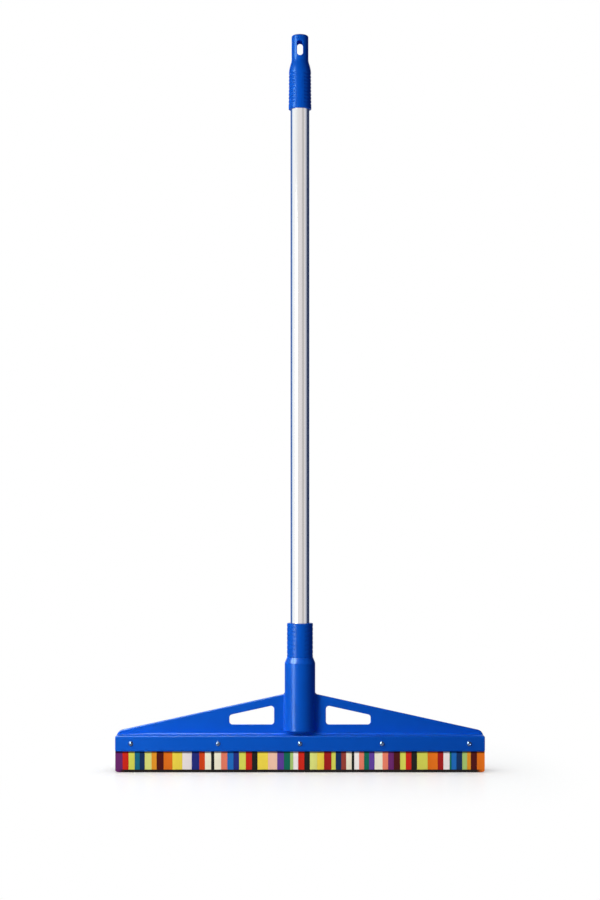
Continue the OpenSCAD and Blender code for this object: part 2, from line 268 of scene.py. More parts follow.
def inset(outline, distance):
    """The outline moved inwards, for an outline that runs anticlockwise."""
    n = len(outline)
    out = []
    for i in range(n):
        a, b, c = Vector(outline[i - 1]), Vector(outline[i]), Vector(outline[(i + 1) % n])
        u = (b - a).normalized()
        v = (c - b).normalized()
        nu = Vector((-u.y, u.x))
        nv = Vector((-v.y, v.x))
        m = nu + nv
        m = m / max(m.length_squared / 2, 0.35)
        out.append((b.x + m.x * distance, b.y + m.y * distance))
    return out


def smoothstep(low, high, value):
    """0 below low and 1 above high, with a smooth rise between them."""
    t = max(0.0, min(1.0, (value - low) / (high - low)))
    return t * t * (3 - 2 * t)


def span(start, stop, step):
    """Values from start up to stop, at about the step."""
    n = max(1, round((stop - start) / step))
    return [start + (stop - start) * i / n for i in range(n + 1)]


def circle(r, columns):
    """Points of a full circle, from the right."""
    return arc(0, 0, r, 0, 360.0 * (columns - 1) / columns, columns - 1)


def turns(columns):
    """Angles of equal steps round a full turn."""
    return [2 * math.pi * j / columns for j in range(columns)]


def round_ring(radii, angles, z):
    """A ring at one height, with a radius for each angle."""
    return [(r * math.cos(a), r * math.sin(a), z) for r, a in zip(radii, angles)]


def lathe(profile, columns):
    """Rings of a lathed profile of radius and height."""
    angles = turns(columns)
    return [round_ring([r] * columns, angles, z) for r, z in profile]


# Head moulding

def web_edge_z(x):
    """Height of the web's sloping top edge."""
    slope = (WEB_RISE - WEB_END_RISE) / (HALF_L - SOCKET_R)
    return LEDGE_Z + WEB_RISE - slope * (x - SOCKET_R)


def channel_section():
    """Outline of the channel in Y and Z, anticlockwise."""
    lip_r, brim_r, edge_r, inner_r = 0.7, 2.2, LEDGE_EDGE_R, 0.5
    corners = [
        (-FLANGE_Y, LEDGE_Z, edge_r), (-FLANGE_Y, FLANGE_Z, brim_r), (-LIP_Y, FLANGE_Z, lip_r),
        (-LIP_Y, LIP_TOP_Z, inner_r), (-SPINE_Y, LIP_TOP_Z, inner_r), (-SPINE_Y, FLANGE_Z, lip_r),
        (SPINE_Y, FLANGE_Z, lip_r), (SPINE_Y, LIP_TOP_Z, inner_r), (LIP_Y, LIP_TOP_Z, inner_r),
        (LIP_Y, FLANGE_Z, lip_r), (FLANGE_Y, FLANGE_Z, brim_r), (FLANGE_Y, LEDGE_Z, edge_r),
    ]
    return rounded([c[:2] for c in corners], [c[2] for c in corners], steps=5)


def channel():
    """The channel, with rounded ends."""
    section = channel_section()
    mid_z = (FLANGE_Z + LEDGE_Z) / 2
    half_h = (LEDGE_Z - FLANGE_Z) / 2
    end_r = 0.6
    ends = []
    for back in (0.0, 0.02, 0.05, 0.1, 0.18, 0.3, 0.45, 0.7, 1.0, 1.4, 1.9, 2.5):
        drop = FLANGE_CORNER_R - math.sqrt(FLANGE_CORNER_R ** 2 - (FLANGE_CORNER_R - back) ** 2)
        thin = end_r - math.sqrt(max(0.0, end_r ** 2 - max(0.0, end_r - back) ** 2))
        ring = inset(section, thin) if thin > 0 else section
        squeezed = []
        for y, z in ring:
            share = (z - mid_z) / half_h
            pull = max(0.0, drop - thin) * share ** 3
            squeezed.append((y, z - pull))
        ends.append((HALF_L - back, squeezed))
    rings = [[(-x, y, z) for y, z in ring] for x, ring in ends]
    rings += [[(x, y, z) for y, z in ring] for x, ring in reversed(ends)]
    return skin(rings)


def web_outline():
    """Outline of the web in X and Z, anticlockwise, with a notch inside the socket."""
    inside_x = SOCKET_R - 6
    side_x = SOCKET_R - 0.2
    foot_z = LIP_TOP_Z - 1
    notch_z = SOCKET_FLOOR_Z - 2
    joint_z = web_edge_z(side_x)
    head_z = joint_z + 2 * CROTCH_R + 1
    end_x = HALF_L - 0.05
    end_z = LEDGE_Z + WEB_END_RISE
    end_angle = 90 + math.degrees(math.atan((WEB_RISE - WEB_END_RISE) / (HALF_L - SOCKET_R)))
    end_r = min(WEB_CORNER_R, (end_z - LIP_TOP_Z + 0.5) * math.tan(math.radians(end_angle / 2)))
    right = [
        (end_x, foot_z, 0), (end_x, end_z, end_r), (side_x, joint_z, CROTCH_R),
        (side_x, head_z, 0), (inside_x, head_z, 0), (inside_x, notch_z, 0),
    ]
    left = [(-x, z, r) for x, z, r in reversed(right)]
    corners = right + left
    return rounded([c[:2] for c in corners], [c[2] for c in corners], steps=10)


def window_outline(side):
    """Outline of the left (-1) or right (1) window in X and Z, anticlockwise."""
    sill_z = LEDGE_Z + WINDOW_SILL
    out_z = web_edge_z(WINDOW_OUT) - WINDOW_BAND
    in_z = web_edge_z(WINDOW_IN) - WINDOW_BAND
    corners = [(WINDOW_IN, sill_z), (WINDOW_OUT, sill_z), (WINDOW_OUT, out_z), (WINDOW_IN, in_z)]
    outline = rounded(corners, [WINDOW_R] * 4, steps=10)
    if side < 0:
        outline = [(-x, z) for x, z in reversed(outline)]
    return outline


def plate(outline, holes, thickness, outer_r, hole_r, steps=5):
    """An upright plate with rounded edges, from outlines in X and Z."""
    half = thickness / 2
    loops = [(outline, outer_r)] + [(list(reversed(hole)), hole_r) for hole in holes]
    points, faces = [], []
    caps = {-1: [], 1: []}
    for loop, edge_r in loops:
        rings = []
        for side in SIDES:
            order = range(steps + 1) if side < 0 else range(steps, -1, -1)
            for i in order:
                a = math.radians(90 * i / steps)
                ring = inset(loop, edge_r * (1 - math.sin(a)))
                y = side * (half - edge_r * (1 - math.cos(a)))
                rings.append([(x, y, z) for x, z in ring])
        p, f = skin(rings, capped=False)
        base = len(points)
        points += p
        faces += [tuple(base + i for i in face) for face in f]
        n = len(loop)
        caps[-1].append([base + i for i in range(n)])
        caps[1].append([base + (len(rings) - 1) * n + i for i in range(n)])
    for side in SIDES:
        flat = [i for loop in caps[side] for i in loop]
        outlines = [[Vector((points[i][0], points[i][2], 0)) for i in loop] for loop in caps[side]]
        for tri in tessellate_polygon(outlines):
            faces.append(tuple(flat[i] for i in tri))
    return points, faces


def fillet_ring(r, steps=8):
    """Section of a concave fillet in the corner at (0, 0), towards +u and +v."""
    bury = 0.01 * r
    out = [(-FILLET_ROOT, -FILLET_ROOT), (r, -FILLET_ROOT)]
    out += [(u - bury, v - bury) for u, v in arc(r, r, r, 270, -90, steps)]
    out.append((-FILLET_ROOT, r))
    return out


def foot_fillets():
    """Fillets along the foot of the web, which run out towards the ends."""
    parts = []
    for side_x, side_y in QUARTERS:
        rings = []
        for x in (10.0, FILLET_FADE_X, 255.0, 265.0, 273.0, 280.0, 286.0, 291.0):
            r = FILLET_R * max(0.2, 1 - max(0.0, x - FILLET_FADE_X) / FILLET_FADE_L)
            rings.append([
                (side_x * x, side_y * (WEB_T / 2 + u), LEDGE_Z + v) for u, v in fillet_ring(r)
            ])
        parts.append(skin(rings))
    return parts


def socket_fillets():
    """Fillets between web and socket, which run out under the web's top edge."""
    top_z = web_edge_z(SOCKET_R) - 1.2
    inside_x = SOCKET_R - 2
    root_y = WEB_T / 2 - FILLET_ROOT
    bury = 0.05
    levels = [
        (SOCKET_FOOT_Z + 0.6, FILLET_R), (top_z - 9, FILLET_R), (top_z - 5, 2.6),
        (top_z - 2.5, 1.8), (top_z - 1, 1.0), (top_z, 0.4),
    ]
    parts = []
    for side_x, side_y in QUARTERS:
        rings = []
        for z, r in levels:
            reach = SOCKET_R + r
            cy = WEB_T / 2 + r
            cx = math.sqrt(reach * reach - cy * cy)
            touch = math.degrees(math.atan2(cy, cx))
            ring = [(inside_x, root_y), (cx, root_y)]
            ring += [(x - bury, y - bury) for x, y in arc(cx, cy, r, 270, -(90 - touch), 8)]
            ring.append((inside_x, ring[-1][1]))
            rings.append([(side_x * x, side_y * y, z) for x, y in ring])
        parts.append(skin(rings))
    return parts


# Phases of a thread's tooth: start and end of its rise, start and end of its fall
SOCKET_TOOTH = (0.80, 0.92, 1.03, 1.15)
SPIGOT_TOOTH = (0.20, 0.35, 0.60, 0.75)


def thread_tooth(a, z, rise, flat, fall, end):
    """0 to 1 across the tooth of a right-hand thread, by its phases from rise to end."""
    phase = (z / THREAD_PITCH - a / (2 * math.pi) - rise) % 1.0
    return smoothstep(0.0, flat - rise, phase) * (1 - smoothstep(fall - rise, end - rise, phase))


def socket_thread(columns):
    """Rings of the socket's bore from its mouth down, with its thread."""
    angles = turns(columns)
    depth = BORE_R - THREAD_ROOT_R - THREAD_PLAY
    rings = []
    for z in reversed(span(SPIGOT_FOOT_Z, MOUTH_Z - 1.2, 0.4)):
        foot = smoothstep(SPIGOT_FOOT_Z, SPIGOT_FOOT_Z + 3, z)
        ends = foot * (1 - smoothstep(MOUTH_Z - 4, MOUTH_Z - 1.4, z))
        radii = [BORE_R - depth * ends * thread_tooth(a, z, *SOCKET_TOOTH) for a in angles]
        rings.append(round_ring(radii, angles, z))
    return rings


def socket():
    """The round socket, with a cone below its mouth and a threaded bore."""
    columns = 128
    cone_r, mouth_r = 3.0, 0.8
    wall_zs = (80.0, 110.0, 140.0, 160.0)
    shoulder = (SOCKET_R, SOCKET_CONE_Z)
    rim = (COLLAR_R, MOUTH_Z)
    mouth = (BORE_R, MOUTH_Z)
    profile = [(8.0, SOCKET_FOOT_Z)]
    profile += arc(SOCKET_R - SOCKET_RIM_R, SOCKET_FOOT_Z + SOCKET_RIM_R, SOCKET_RIM_R, -90, 90, 6)
    profile += [(SOCKET_R, z) for z in wall_zs]
    profile += round_corner((SOCKET_R, wall_zs[-1]), shoulder, rim, cone_r, 5)
    profile += round_corner(shoulder, rim, mouth, mouth_r, 4)
    profile += round_corner(rim, mouth, (BORE_R, SOCKET_FLOOR_Z), mouth_r, 4)
    rings = lathe(profile, columns) + socket_thread(columns)
    rings += lathe([(BORE_R, 120.0), (BORE_R, 90.0), (BORE_R, SOCKET_FLOOR_Z)], columns)
    return skin(rings)


def rounded_box(x0, x1, y0, y1, z0, z1, r):
    """A box with rounded upright edges."""
    ring = rounded([(x0, y0), (x1, y0), (x1, y1), (x0, y1)], [r] * 4, steps=4)
    return skin([[(x, y, z) for x, y in ring] for z in (z0, z1)])


def screw_hole_cutters():
    """Cutters for the screws' holes, from both sides."""
    parts = []
    for x in SCREW_XS:
        for side in SIDES:
            rings = []
            for depth in (-1.0, SCREW_L + 0.05):
                y = side * (FLANGE_Y - depth)
                rings.append([(x + u, y, SCREW_Z + v) for u, v in circle(SCREW_HOLE_R, 48)])
            parts.append(skin(rings))
    return parts


def spine_pockets():
    """Cutters for the pockets that core the spine between the screws' bosses."""
    half = SPINE_Y - SPINE_WALL
    parts = []
    for a, b in zip(SCREW_XS, SCREW_XS[1:]):
        start = a + SCREW_BOSS_W / 2
        stop = b - SCREW_BOSS_W / 2
        step = (stop - start + SPINE_WALL) / POCKETS_PER_BAY
        for i in range(POCKETS_PER_BAY):
            x0 = start + i * step
            x1 = x0 + step - SPINE_WALL
            parts.append(rounded_box(x0, x1, -half, half, FLANGE_Z - 1, LIP_TOP_Z, SPINE_POCKET_R))
    return parts


def build_head():
    head = add_mesh("head", *channel())
    windows = [window_outline(side) for side in SIDES]
    web = plate(web_outline(), windows, WEB_T, WEB_EDGE_R, WINDOW_EDGE_R)
    for part in [web, socket()] + foot_fillets() + socket_fillets():
        boolean(head, add_mesh("joined", *part), "UNION")
    cutters = merge(spine_pockets() + screw_hole_cutters())
    boolean(head, add_mesh("cutters", *cutters), "DIFFERENCE")
    shade(head, 32)
    return head


# Grip and ferrule

def side_mask(a):
    """1 on the left and right of a round piece, 0 at its front and rear."""
    off = abs(math.degrees(math.asin(max(-1.0, min(1.0, math.sin(a))))))
    soft = 1.6
    return 1 - smoothstep(GROOVE_SWEEP / 2 - soft, GROOVE_SWEEP / 2 + soft, off)


def groove_depth(z, first, pitch, count, depth):
    """Depth at a height of a row of round grooves."""
    k = round((z - first) / pitch)
    if k < 0 or k >= count:
        return 0.0
    off = z - first - k * pitch
    half = math.sqrt(GROOVE_R ** 2 - (GROOVE_R - depth) ** 2)
    if abs(off) > half:
        return 0.0
    return math.sqrt(GROOVE_R ** 2 - off ** 2) - (GROOVE_R - depth)


def sleeve_cut(z):
    first = SLEEVE_FOOT_Z + SLEEVE_PLAIN
    return groove_depth(z, first, SLEEVE_PITCH, SLEEVE_GROOVES, SLEEVE_GROOVE_DEPTH)


def collar_cut(z):
    first = MOUTH_Z + COLLAR_PLAIN
    return groove_depth(z, first, COLLAR_PITCH, COLLAR_GROOVES, COLLAR_GROOVE_DEPTH)


def grip_rows():
    """Outer rows of the grip up to its neck: radius, height and whether grooves may cut it."""
    rows = [(TUBE_BORE_R + BORE_EDGE, SLEEVE_FOOT_Z, 0)]
    edge = SLEEVE_EDGE_R
    rows += [(r, z, 0) for r, z in arc(SLEEVE_FOOT_R - edge, SLEEVE_FOOT_Z + edge, edge, -90, 90, 5)]
    for z in span(SLEEVE_FOOT_Z + edge + 1, SLEEVE_TOP_Z, 0.58):
        share = (z - SLEEVE_FOOT_Z) / (SLEEVE_TOP_Z - SLEEVE_FOOT_Z)
        rows.append((SLEEVE_FOOT_R + (SLEEVE_TOP_R - SLEEVE_FOOT_R) * share, z, 1))
    shares = [i / 10 for i in range(1, 11)]
    for share in shares:
        bend = math.sin(math.radians(CROWN_BEND * (1 - share))) / math.sin(math.radians(CROWN_BEND))
        r = CROWN_R + (SLEEVE_TOP_R - CROWN_R) * bend
        rows.append((r, SLEEVE_TOP_Z + share * (CROWN_Z - SLEEVE_TOP_Z), 1))
    for share in shares:
        r = NECK_R + (CROWN_R - NECK_R) * (1 - share) ** COVE_POWER
        rows.append((r, CROWN_Z + share * (NECK_Z - CROWN_Z), 0))
    return rows


GRIP_COLUMNS = 160
FRONT_COLUMN = 3 * GRIP_COLUMNS // 4
REAR_COLUMN = GRIP_COLUMNS // 4
PATCH_COLUMNS = 17


def slot_loops(boundary, side):
    """Loops from a patch's boundary in to the slot's edge, on the front (-1) or the rear (1)."""
    low = SLOT_FOOT_Z + SLOT_R
    high = SLOT_TOP_Z - SLOT_R
    bends = [(2.0, 0.0), (SLOT_EDGE_R, 0.0)]
    for i in range(1, 6):
        a = math.radians(18 * i)
        bends.append((SLOT_EDGE_R * (1 - math.sin(a)), SLOT_EDGE_R * (1 - math.cos(a))))
    loops = []
    for off, depth in bends:
        loop = []
        for x, _, z in boundary:
            mid = max(low, min(high, z))
            way = Vector((x, z - mid)).normalized()
            px = way.x * (SLOT_R + off)
            pz = mid + way.y * (SLOT_R + off)
            loop.append((px, side * (math.sqrt(NECK_R ** 2 - px ** 2) - depth), pz))
        loops.append(loop)
    return loops


def add_neck(rows):
    """Adds the neck's rows, and gives the first and last row of the patches round the slot."""
    low, high = SLOT_FOOT_Z - SLOT_PATCH_RIM, SLOT_TOP_Z + SLOT_PATCH_RIM
    edge_z = TOP_Z - NECK_EDGE_R
    first = len(rows)
    rows += [(NECK_R, z, 0) for z in span(low, high, 1.5)]
    last = len(rows) - 1
    rows += [(NECK_R, z, 0) for z in span(high, edge_z, 1.5)[1:]]
    rows += [(r, z, 0) for r, z in arc(NECK_R - NECK_EDGE_R, edge_z, NECK_EDGE_R, 0, 90, 8)[1:]]
    return first, last


def in_patch(j):
    """Whether a column of faces lies in the front or the rear patch."""
    return any(c - PATCH_COLUMNS <= j < c + PATCH_COLUMNS for c in (FRONT_COLUMN, REAR_COLUMN))


def grip_skin(rows, first, last):
    """Outer points and faces of the grip, open at the foot and at the two patches."""
    n = GRIP_COLUMNS
    angles = turns(n)
    masks = [side_mask(a) for a in angles]
    points, faces = [], []
    for r, z, grooved in rows:
        cut = sleeve_cut(z) if grooved else 0.0
        points += round_ring([r - cut * mask for mask in masks], angles, z)
    for k in range(len(rows) - 1):
        for j in range(n):
            if not (first <= k < last and in_patch(j)):
                i = (j + 1) % n
                faces.append((k * n + j, k * n + i, (k + 1) * n + i, (k + 1) * n + j))
    faces.append(tuple((len(rows) - 1) * n + j for j in range(n)))
    return points, faces


def add_bore(points, faces):
    """Bore of the grip, from its foot up to the end of the tube."""
    n = GRIP_COLUMNS
    base = len(points)
    for ring in lathe([(TUBE_BORE_R, SLEEVE_FOOT_Z + BORE_EDGE), (TUBE_BORE_R, SLEEVE_TOP_Z)], n):
        points += ring
    for j in range(n):
        i = (j + 1) % n
        faces.append((j, i, base + i, base + j))
        faces.append((base + j, base + i, base + n + i, base + n + j))
    faces.append(tuple(base + n + j for j in range(n)))


def patch_ring(centre, side, first, last):
    """Numbers of the points round the patch on the front (-1) or the rear (1)."""
    n = GRIP_COLUMNS
    columns = list(range(centre - PATCH_COLUMNS, centre + PATCH_COLUMNS + 1))
    if side > 0:
        columns.reverse()
    ring = [first * n + j for j in columns]
    ring += [k * n + columns[-1] for k in range(first + 1, last + 1)]
    ring += [last * n + j for j in reversed(columns[:-1])]
    ring += [k * n + columns[0] for k in range(last - 1, first, -1)]
    return ring


def bridge(outer, inner):
    """Faces between two rings of point numbers."""
    n = len(outer)
    return [(outer[i], outer[(i + 1) % n], inner[(i + 1) % n], inner[i]) for i in range(n)]


def add_slot(points, faces, first, last):
    """Slot through the neck, from the front patch to the rear patch."""
    edges = []
    for centre, side in ((FRONT_COLUMN, -1), (REAR_COLUMN, 1)):
        outer = patch_ring(centre, side, first, last)
        for loop in slot_loops([points[i] for i in outer], side):
            inner = list(range(len(points), len(points) + len(loop)))
            points += loop
            faces += bridge(outer, inner)
            outer = inner
        edges.append(outer)
    faces += bridge(*edges)


def build_grip():
    rows = grip_rows()
    first, last = add_neck(rows)
    points, faces = grip_skin(rows, first, last)
    add_bore(points, faces)
    add_slot(points, faces, first, last)
    grip = add_mesh("grip_cap", points, faces)
    shade(grip, 40)
    return grip


def thread_r(a, z):
    """Radius of the spigot's right-hand thread at an angle and a height."""
    tooth = thread_tooth(a, z, *SPIGOT_TOOTH)
    foot = smoothstep(THREAD_FOOT_Z, THREAD_FULL_Z, z)
    ends = foot * (1 - smoothstep(MOUTH_Z - 4, THREAD_TOP_Z, z))
    return THREAD_ROOT_R + (THREAD_CREST_R - THREAD_ROOT_R) * tooth * ends


def ferrule_rows(angles):
    """Rows of the ferrule from its bore over the collar to its core: radii and height."""
    masks = [side_mask(a) for a in angles]
    edge = COLLAR_EDGE_R
    rows = []

    def plain(r, z):
        rows.append(([r] * len(angles), z))

    plain(TUBE_BORE_R, TUBE_FOOT_Z)
    plain(TUBE_BORE_R, COLLAR_TOP_Z - 0.4)
    plain(TUBE_BORE_R + 0.4, COLLAR_TOP_Z)
    for r, z in reversed(arc(COLLAR_R - edge, COLLAR_TOP_Z - edge, edge, 0, 90, 5)):
        plain(r, z)
    for z in reversed(span(MOUTH_Z + 1.2, COLLAR_TOP_Z - edge - 0.6, 0.5)):
        cut = collar_cut(z)
        rows.append(([COLLAR_R - cut * mask for mask in masks], z))
    plain(COLLAR_R - 0.15, MOUTH_Z + 0.2)
    plain(COLLAR_R - 0.6, MOUTH_Z + 0.02)
    plain(THREAD_ROOT_R + 0.4, MOUTH_Z + 0.02)
    plain(THREAD_ROOT_R, MOUTH_Z - 0.4)
    for z in reversed(span(THREAD_FOOT_Z, THREAD_TOP_Z, 0.36)):
        rows.append(([thread_r(a, z) for a in angles], z))
    for r, z in reversed(arc(THREAD_ROOT_R - 1.0, SPIGOT_FOOT_Z + 1.0, 1.0, -90, 90, 4)):
        plain(r, z)
    plain(SPIGOT_CORE_R + 0.3, SPIGOT_FOOT_Z)
    plain(SPIGOT_CORE_R, SPIGOT_FOOT_Z + 0.3)
    plain(SPIGOT_CORE_R, SPIGOT_CORE_TOP_Z)
    return rows


def build_ferrule():
    angles = turns(144)
    rings = [round_ring(radii, angles, z) for radii, z in ferrule_rows(angles)]
    ferrule = add_mesh("ferrule_collar", *skin(rings))
    shade(ferrule, 40)
    return ferrule


def build_tube():
    top_z = SLEEVE_TOP_Z
    inner = TUBE_R - TUBE_WALL
    lip = 0.25
    profile = [
        (inner, TUBE_FOOT_Z + lip), (inner + lip, TUBE_FOOT_Z), (TUBE_R - lip, TUBE_FOOT_Z),
        (TUBE_R, TUBE_FOOT_Z + lip),
    ]
    profile += [(TUBE_R, z) for z in span(TUBE_FOOT_Z + 20, top_z - 20, 60)]
    profile += [(TUBE_R, top_z - lip), (TUBE_R - lip, top_z), (inner + lip, top_z), (inner, top_z - lip)]
    tube = add_mesh("tube", *skin(lathe(profile, 128), looped=True))
    shade(tube, 40)
    return tube


# Screws

def cross_recess(u, v):
    """Depth of a cross recess in the screw's head."""
    depth = 0.0
    for a, b in ((u, v), (v, u)):
        across = 1 - smoothstep(0.38, 0.58, abs(a))
        along = 1 - smoothstep(1.5, 2.0, abs(b))
        depth = max(depth, across * along * (1.25 - 0.35 * abs(b)))
    return depth


def dome_rings(angles):
    """Rings of a screw's domed head, from the middle of its cross recess outwards."""
    dome_r = (SCREW_HEAD_R ** 2 + SCREW_HEAD_H ** 2) / (2 * SCREW_HEAD_H)
    turn = math.radians(20)
    rings = []
    for r in (
        0.12, 0.25, 0.38, 0.5, 0.6, 0.75, 0.95, 1.2, 1.45, 1.6,
        1.75, 1.9, 2.05, 2.3, 2.7, 3.1, 3.45, 3.7, 3.88,
    ):
        rise = math.sqrt(dome_r ** 2 - r ** 2) - (dome_r - SCREW_HEAD_H)
        ring = []
        for a in angles:
            dip = cross_recess(r * math.cos(a - turn), r * math.sin(a - turn))
            ring.append((r * math.cos(a), r * math.sin(a), dip - rise))
        rings.append(ring)
    return rings


def shank_r(a, w):
    """Radius of a screw's threaded shank at an angle and a depth."""
    phase = (w / SCREW_PITCH - a / (2 * math.pi)) % 1.0
    tooth = 1 - abs(2 * phase - 1)
    return SCREW_ROOT_R + SCREW_TOOTH_H * tooth ** 1.5 * smoothstep(0.6, 2.0, w)


def screw_rings():
    """Rings of one screw in its own frame: u, v across and w along, into the head."""
    columns = 72
    angles = turns(columns)
    rings = dome_rings(angles)
    rings += lathe([(3.97, -0.08), (3.9, 0.0), (1.5, 0.02)], columns)
    for w in span(0.6, SCREW_L - SCREW_POINT_L, 0.3):
        rings.append(round_ring([shank_r(a, w) for a in angles], angles, w))
    point = []
    for i in range(1, 5):
        share = i / 4
        r = SCREW_ROOT_R * (1 - share) + SCREW_TIP_R * share
        point.append((r, SCREW_L - SCREW_POINT_L * (1 - share)))
    return rings + lathe(point, columns)


def placed_screw(rings, x, side, turn):
    """The screw's rings in their place on the front (-1) or the rear (1)."""
    cos, sin = math.cos(turn), math.sin(turn)
    placed = []
    for ring in rings:
        placed.append([
            (x - side * (u * cos - v * sin), side * (FLANGE_Y - w), SCREW_Z + u * sin + v * cos)
            for u, v, w in ring
        ])
    return placed


def build_screws():
    rings = screw_rings()
    parts = []
    for side in SIDES:
        for k, x in enumerate(SCREW_XS):
            parts.append(skin(placed_screw(rings, x, side, 0.7 * k + 0.4 * side)))
    screws = add_mesh("screws", *merge(parts))
    shade(screws, 40, weighted=False)
    return screws


# Foam lips

def solid_boxes(node):
    """Corners, in millimetres, of each separate solid of a CAD node."""
    bm = bmesh.new()
    bm.from_mesh(node.data)
    bmesh.ops.remove_doubles(bm, verts=bm.verts, dist=2e-6)
    left = set(bm.verts)
    boxes = []
    while left:
        stack = [left.pop()]
        low, high = stack[0].co.copy(), stack[0].co.copy()
        while stack:
            v = stack.pop()
            for k in range(3):
                low[k] = min(low[k], v.co[k])
                high[k] = max(high[k], v.co[k])
            for e in v.link_edges:
                w = e.other_vert(v)
                if w in left:
                    left.remove(w)
                    stack.append(w)
        boxes.append((low / MM, high / MM))
    bm.free()
    return sorted(boxes, key=lambda b: (b[0].x, b[0].y))


def slab_levels(foot):
    """Heights of a slab's rings, and how far each ring is pulled in."""
    levels = []
    for i in range(6):
        a = math.radians(18 * i)
        levels.append((foot + SLAB_FOOT_R * (1 - math.cos(a)), SLAB_FOOT_R * (1 - math.sin(a))))
    levels += [(z, 0.0) for z in (1.0, 1.6, 2.2, 2.8, 3.4, 4.2, 5.2, 8.0, 13.0, 18.0, 23.0)]
    levels += [(FLANGE_Z + z, 0.0) for z in (-5.0, -2.5, -1.0, 0.5, 2.5, 6.0)]
    levels += [(LIP_TOP_Z - 0.6, 0.0), (LIP_TOP_Z - 0.2, 0.1), (LIP_TOP_Z - 0.02, 0.4)]
    return levels


def slab(low, high, rng):
    """One foam slab: rounded edges, and a slight swell where it stands out of the channel."""
    x0, x1 = low.x + SLAB_GAP, high.x - SLAB_GAP
    y0, y1 = low.y + SLAB_GAP, high.y - SLAB_GAP
    swell = rng.uniform(0.10, 0.45)
    foot = rng.uniform(0.0, 0.08)
    lean = rng.uniform(-0.12, 0.12)
    rings = []
    for z, pull in slab_levels(foot):
        bulge = swell * smoothstep(0.0, 6.0, z) * (1 - smoothstep(FLANGE_Z - 6, FLANGE_Z, z))
        drift = lean * (1 - smoothstep(0.0, FLANGE_Z - 4, z))
        side = min(pull, 0.3)
        lift = SLAB_END_W * (1 - math.sqrt(1 - max(0.0, 1 - z / SLAB_END_H) ** 2))
        left = x0 + max(side, lift if low.x < 1 - HALF_L else 0.0)
        right = x1 - max(side, lift if high.x > HALF_L - 1 else 0.0)
        front = y0 + pull - bulge + drift
        rear = y1 - pull + bulge + drift
        corners = [(left, front), (right, front), (right, rear), (left, rear)]
        ring = rounded(corners, [SLAB_CORNER_R] * 4, steps=3)
        rings.append([(x, y, z) for x, y in ring])
    return skin(rings)


def build_foam(colour):
    """All slabs of one colour, with a tone that varies from slab to slab."""
    node = nodes["foam_" + colour]
    rng = random.Random(colour)
    parts, tones = [], []
    for low, high in solid_boxes(node):
        part = slab(low, high, rng)
        parts.append(part)
        left, right = rng.uniform(0.0, 1.0), rng.uniform(0.0, 1.0)
        tones += [left + (right - left) * (x - low.x) / (high.x - low.x) for x, _, _ in part[0]]
    obj = add_mesh("lip_" + colour, *merge(parts))
    tone = obj.data.attributes.new("tone", "FLOAT", "POINT")
    if len(tones) == len(obj.data.vertices):
        tone.data.foreach_set("value", tones)
    shade(obj, 40)
    return obj


# Materials

def linear(c):
    return c / 12.92 if c <= 0.04045 else ((c + 0.055) / 1.055) ** 2.4


def linear_rgb(rgb):
    """A colour of 0 to 1, as screens show it, for a shader."""
    return tuple(linear(c) for c in rgb) + (1.0,)


def grey(v):
    return (v, v, v, 1.0)


class Nodes:
    """Makes and links the nodes of one material or world."""

    def __init__(self, tree):
        self.tree = tree

    def add(self, kind, settings=None, **inputs):
        """A new node; i0, i1 and so on name its inputs by number."""
        node = self.tree.nodes.new(kind)
        for key, value in (settings or {}).items():
            setattr(node, key, value)
        for key, value in inputs.items():
            self.set(node, key.replace("_", " "), value)
        return node

    def set(self, node, key, value):
        numbered = key[0] == "i" and key[1:].isdigit()
        socket = node.inputs[int(key[1:])] if numbered else node.inputs[key]
        if isinstance(value, bpy.types.NodeSocket):
            self.tree.links.new(value, socket)
        else:
            socket.default_value = value

    def math(self, operation, a, b=0.0):
        return self.add("ShaderNodeMath", {"operation": operation}, i0=a, i1=b).outputs[0]

    def mix(self, factor, a, b, blend="MIX"):
        node = self.add("ShaderNodeMix", {"data_type": "RGBA", "blend_type": blend})
        self.set(node, "i0", factor)
        self.set(node, "i6", a)
        self.set(node, "i7", b)
        return node.outputs[2]

    def ramp(self, factor, stops, smooth=False):
        node = self.add("ShaderNodeValToRGB", Fac=factor)
        ramp = node.color_ramp
        ramp.interpolation = "EASE" if smooth else "LINEAR"
        while len(ramp.elements) < len(stops):
            ramp.elements.new(0.5)
        for element, (place, colour) in zip(ramp.elements, stops):
            element.position = place
            element.color = colour if len(colour) == 4 else tuple(colour) + (1.0,)
        return node.outputs["Color"]

    def place(self):
        return self.add("ShaderNodeTexCoord").outputs["Object"]

    def noise(self, place, scale, detail, roughness=0.5):
        node = self.add("ShaderNodeTexNoise", Vector=place, Scale=scale, Detail=detail, Roughness=roughness)
        return node.outputs["Fac"]

    def stretch(self, place, share):
        """Coordinates that change slowly along Z."""
        return self.add("ShaderNodeMapping", Vector=place, Scale=(1.0, 1.0, share)).outputs["Vector"]

    def bump(self, bsdf, height, strength, distance):
        node = self.add("ShaderNodeBump", Strength=strength, Distance=distance, Height=height)
        self.set(bsdf, "Normal", node.outputs["Normal"])


def new_material(name):
    mat = bpy.data.materials.new(name)
    mat.use_nodes = True
    tree = mat.node_tree
    return mat, Nodes(tree), tree.nodes["Principled BSDF"]


BLUE = (5 / 255, 88 / 255, 214 / 255)
BLUE_DEEP = (4 / 255, 83 / 255, 207 / 255)


